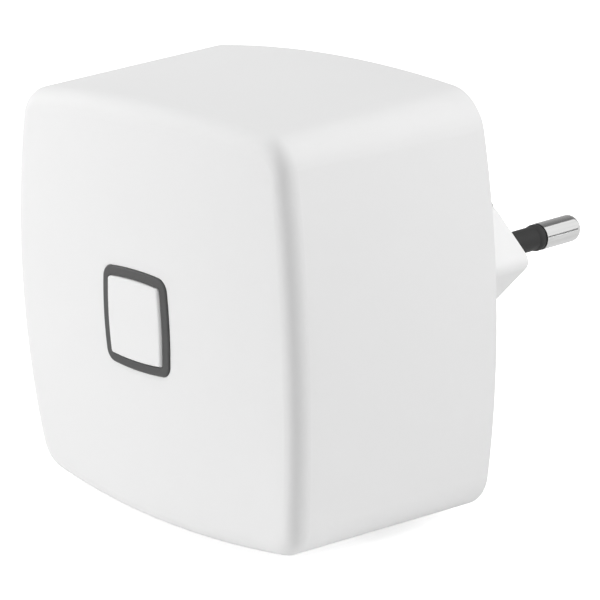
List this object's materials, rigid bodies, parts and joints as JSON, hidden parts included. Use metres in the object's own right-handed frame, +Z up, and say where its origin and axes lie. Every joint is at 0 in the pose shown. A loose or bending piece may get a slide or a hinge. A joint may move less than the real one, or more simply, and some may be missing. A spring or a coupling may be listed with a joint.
{
  "type": "wireless signal repeater",
  "caption": "Wall-plug wireless repeater: cushion-shaped white housing with a dark light ring round a push button, network socket below and a two-pin plug on a hexagonal stem.",
  "frame": {"origin": "on the plug's end face, midway between the two pins", "axes": "+Y out of the wall-side end along the pins, the front with its button looks along -Y; +Z up, with the network socket facing down; +X to the right seen from the front"},
  "size_m": [0.0622, 0.0752, 0.0606],
  "materials": {
    "white_shell": "fine satin moulding",
    "white_button": "fine satin moulding",
    "smoked_ring": "smoked, semi-gloss",
    "clear_guide": "clear moulding",
    "plated_pin": "bright nickel plate",
    "black_sleeve": "satin black moulding",
    "spring_brass": "rolled strip",
    "green_board": "solder mask over glass fibre",
    "zinc_steel": "zinc plated",
    "tinned_steel": "tinned sheet",
    "black_moulding": "matt moulding",
    "gold_contact": "gold flash",
    "chip_black": "moulded package",
    "plunger_plastic": "plain moulding",
    "grey_pad": "soft filled silicone",
    "sink_aluminium": "extruded",
    "ferrite": "sintered",
    "yellow_tape": "polyester tape",
    "capacitor_sleeve": "shrunk film",
    "resistor_coat": "lacquer",
    "blue_coat": "dipped epoxy",
    "film": "polyester film",
    "lamp_lens": "clear over white"
  },
  "bodies": {
    "housing": {"antenna_left": "green_board", "antenna_right": "green_board", "board_screws": "zinc_steel", "bridge_rectifier": "chip_black", "bulk_capacitor_lower": "capacitor_sleeve", "bulk_capacitor_upper": "capacitor_sleeve", "button_switch": "black_moulding", "contact_strip_left": "spring_brass", "contact_strip_right": "spring_brass", "crystal": "tinned_steel", "flash_chip": "chip_black", "front_housing": "white_shell", "fuse_resistor": "resistor_coat", "header_base": "black_moulding", "header_pins": "gold_contact", "header_socket": "black_moulding", "heat_sink": "sink_aluminium", "input_choke": "ferrite", "insulating_film": "film", "lamp_bottom": "lamp_lens", "lamp_left": "lamp_lens", "lamp_right": "lamp_lens", "lamp_top": "lamp_lens", "light_guide": "clear_guide", "light_ring": "smoked_ring", "main_board": "green_board", "network_transformer": "chip_black", "optocoupler": "chip_black", "output_capacitor": "capacitor_sleeve", "output_diode": "chip_black", "pin_left": "plated_pin", "pin_right": "plated_pin", "pin_sleeve_left": "black_sleeve", "pin_sleeve_right": "black_sleeve", "power_board": "green_board", "power_controller": "chip_black", "rear_cover": "white_shell", "reset_switch": "black_moulding", "rf_shield": "tinned_steel", "soc_chip": "chip_black", "socket_contacts": "gold_contact", "socket_insert": "black_moulding", "socket_shield": "tinned_steel", "suppression_capacitor": "blue_coat", "thermal_pad": "grey_pad", "transformer_bobbin": "black_moulding", "transformer_core": "ferrite", "transformer_winding": "yellow_tape", "varistor": "blue_coat"},
    "button": {"push_button": "white_button", "switch_plunger": "plunger_plastic"},
    "reset": {"reset_plunger": "plunger_plastic"}
  },
  "joints": [
    {"name": "button_press", "type": "slide", "parent": "housing", "child": "button", "axis": [0, 1, 0], "range_m": [0, 0.0003], "stiffness_N_per_m": 3000},
    {"name": "reset_press", "type": "slide", "parent": "housing", "child": "reset", "axis": [0, 0, 1], "range_m": [0, 0.00025], "stiffness_N_per_m": 3000}
  ]
}
